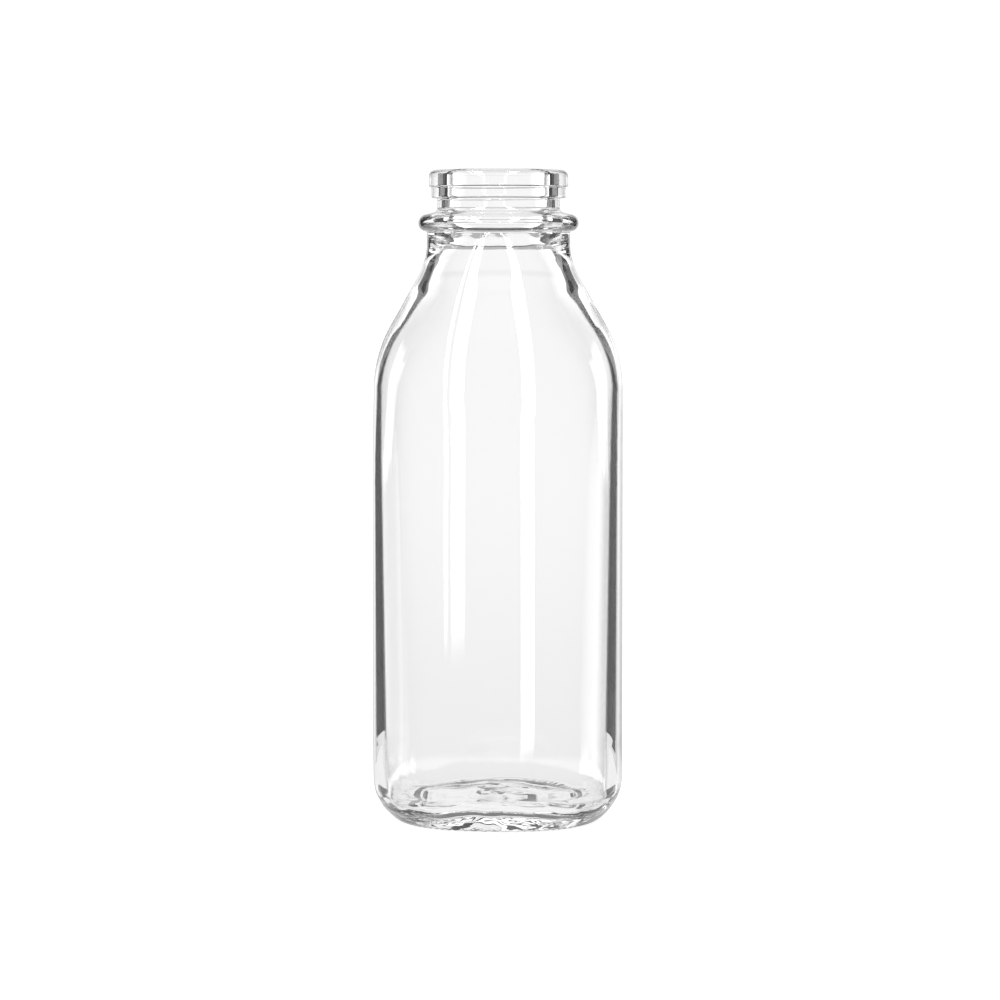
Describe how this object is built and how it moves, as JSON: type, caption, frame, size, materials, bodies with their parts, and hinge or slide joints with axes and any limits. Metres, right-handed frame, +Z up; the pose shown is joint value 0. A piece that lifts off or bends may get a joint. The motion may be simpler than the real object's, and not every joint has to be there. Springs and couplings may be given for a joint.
{
  "type": "glass milk bottle",
  "caption": "Clear glass milk bottle with a banded snap-cap finish, a transfer bead, sloping shoulders, a softly squared body and a hollowed foot, open at the mouth.",
  "frame": {"origin": "on the bottle's axis, in the plane that the foot stands on", "axes": "+Z up along the bottle's axis towards the mouth; -Y and +X each face the middle of a flat side of the body"},
  "size_m": [0.085, 0.085, 0.2193],
  "materials": {
    "clear_glass": "fire-polished clear flint glass, smooth outside, gently wavy inside"
  },
  "bodies": {
    "root": {"glass_bottle": "clear_glass"}
  },
  "joints": []
}
